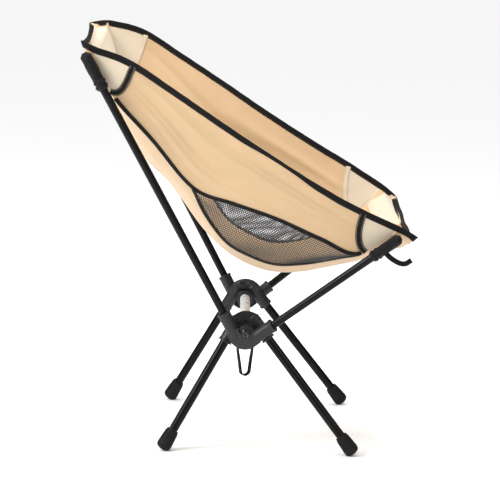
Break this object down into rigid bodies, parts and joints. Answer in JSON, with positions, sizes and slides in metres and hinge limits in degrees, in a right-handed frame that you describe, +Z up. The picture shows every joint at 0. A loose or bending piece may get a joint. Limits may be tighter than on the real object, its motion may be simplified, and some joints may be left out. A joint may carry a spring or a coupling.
{
  "type": "ultralight backpacking chair",
  "caption": "Low camp chair: crossed pole legs in moulded hubs on a cross tube, with splayed poles that stretch a sewn bucket seat with mesh side panels.",
  "frame": {"origin": "middle of the footprint on the floor, under the centre of the overall box", "axes": "+Z up, -Y the way the sitter faces, +X to the sitter's left; the chair is symmetric about X = 0"},
  "size_m": [0.5268, 0.5516, 0.6605],
  "materials": {
    "frame_black": "satin black anodised aluminium tube",
    "hub_black": "satin black glass-filled nylon moulding",
    "tube_bright": "polished bright aluminium",
    "pin_dark": "blackened rivet",
    "rubber_black": "ribbed matt rubber",
    "cord_grey": "braided shock cord",
    "cloth_tan": "smooth woven ripstop cloth, tan",
    "cloth_pale": "smooth woven reinforcement cloth, pale beige",
    "mesh_black": "open knitted mesh, black",
    "webbing_black": "woven black binding and webbing"
  },
  "bodies": {
    "frame": {"cross_tube": "tube_bright", "leg_hub_left": "hub_black", "leg_hub_right": "hub_black", "hinge_pin_left": "pin_dark", "hinge_pin_right": "pin_dark"},
    "leg_rear_left_body": {"leg_rear_left": "frame_black", "foot_rear_left": "rubber_black", "leg_cord_rear_left": "cord_grey"},
    "leg_rear_right_body": {"leg_rear_right": "frame_black", "foot_rear_right": "rubber_black", "leg_cord_rear_right": "cord_grey"},
    "leg_front_left_body": {"leg_front_left": "frame_black", "foot_front_left": "rubber_black", "leg_cord_front_left": "cord_grey"},
    "leg_front_right_body": {"leg_front_right": "frame_black", "foot_front_right": "rubber_black", "leg_cord_front_right": "cord_grey"},
    "loop": {"carry_loop": "webbing_black"},
    "seat": {"back_pole_cord_left": "cord_grey", "back_pole_cord_right": "cord_grey", "back_pole_lower_left": "frame_black", "back_pole_lower_right": "frame_black", "back_pole_tip_left": "hub_black", "back_pole_tip_right": "hub_black", "back_pole_upper_left": "frame_black", "back_pole_upper_right": "frame_black", "centre_panel": "cloth_tan", "corner_patch_back_left": "cloth_pale", "corner_patch_back_right": "cloth_pale", "corner_patch_front_left": "cloth_pale", "corner_patch_front_right": "cloth_pale", "corner_tape_back_left": "webbing_black", "corner_tape_back_right": "webbing_black", "corner_tape_front_left": "webbing_black", "corner_tape_front_right": "webbing_black", "edge_binding": "webbing_black", "ferrule_left": "tube_bright", "ferrule_right": "tube_bright", "front_pole_cord_left": "cord_grey", "front_pole_cord_right": "cord_grey", "front_pole_left": "frame_black", "front_pole_right": "frame_black", "front_pole_tip_left": "hub_black", "front_pole_tip_right": "hub_black", "mesh_panel_left": "mesh_black", "mesh_panel_right": "mesh_black", "pole_pocket_back_left": "webbing_black", "pole_pocket_back_right": "webbing_black", "pole_pocket_front_left": "webbing_black", "pole_pocket_front_right": "webbing_black", "pull_tab_left": "webbing_black", "pull_tab_right": "webbing_black", "seam_tape_left": "webbing_black", "seam_tape_right": "webbing_black", "seat_hub_left": "hub_black", "seat_hub_right": "hub_black", "side_panel_left": "cloth_tan", "side_panel_right": "cloth_tan"}
  },
  "joints": [
    {"name": "seat_fold", "type": "hinge", "parent": "frame", "child": "seat", "pos_m": [0, -0.0051, 0.195], "axis": [1, 0, 0], "range_deg": [0, 55]},
    {"name": "rear_left_leg_pull", "type": "slide", "parent": "frame", "child": "leg_rear_left_body", "axis": [0.1638, 0.4797, -0.862], "range_m": [0, 0.035], "stiffness_N_per_m": 40, "springref_m": -0.05},
    {"name": "rear_right_leg_pull", "type": "slide", "parent": "frame", "child": "leg_rear_right_body", "axis": [-0.1638, 0.4797, -0.862], "range_m": [0, 0.035], "stiffness_N_per_m": 40, "springref_m": -0.05},
    {"name": "front_left_leg_pull", "type": "slide", "parent": "frame", "child": "leg_front_left_body", "axis": [0.1463, -0.6208, -0.7702], "range_m": [0, 0.035], "stiffness_N_per_m": 40, "springref_m": -0.05},
    {"name": "front_right_leg_pull", "type": "slide", "parent": "frame", "child": "leg_front_right_body", "axis": [-0.1463, -0.6208, -0.7702], "range_m": [0, 0.035], "stiffness_N_per_m": 40, "springref_m": -0.05},
    {"name": "loop_swing", "type": "hinge", "parent": "frame", "child": "loop", "pos_m": [0, -0.0051, 0.195], "axis": [1, 0, 0], "range_deg": [-90, 90]}
  ]
}
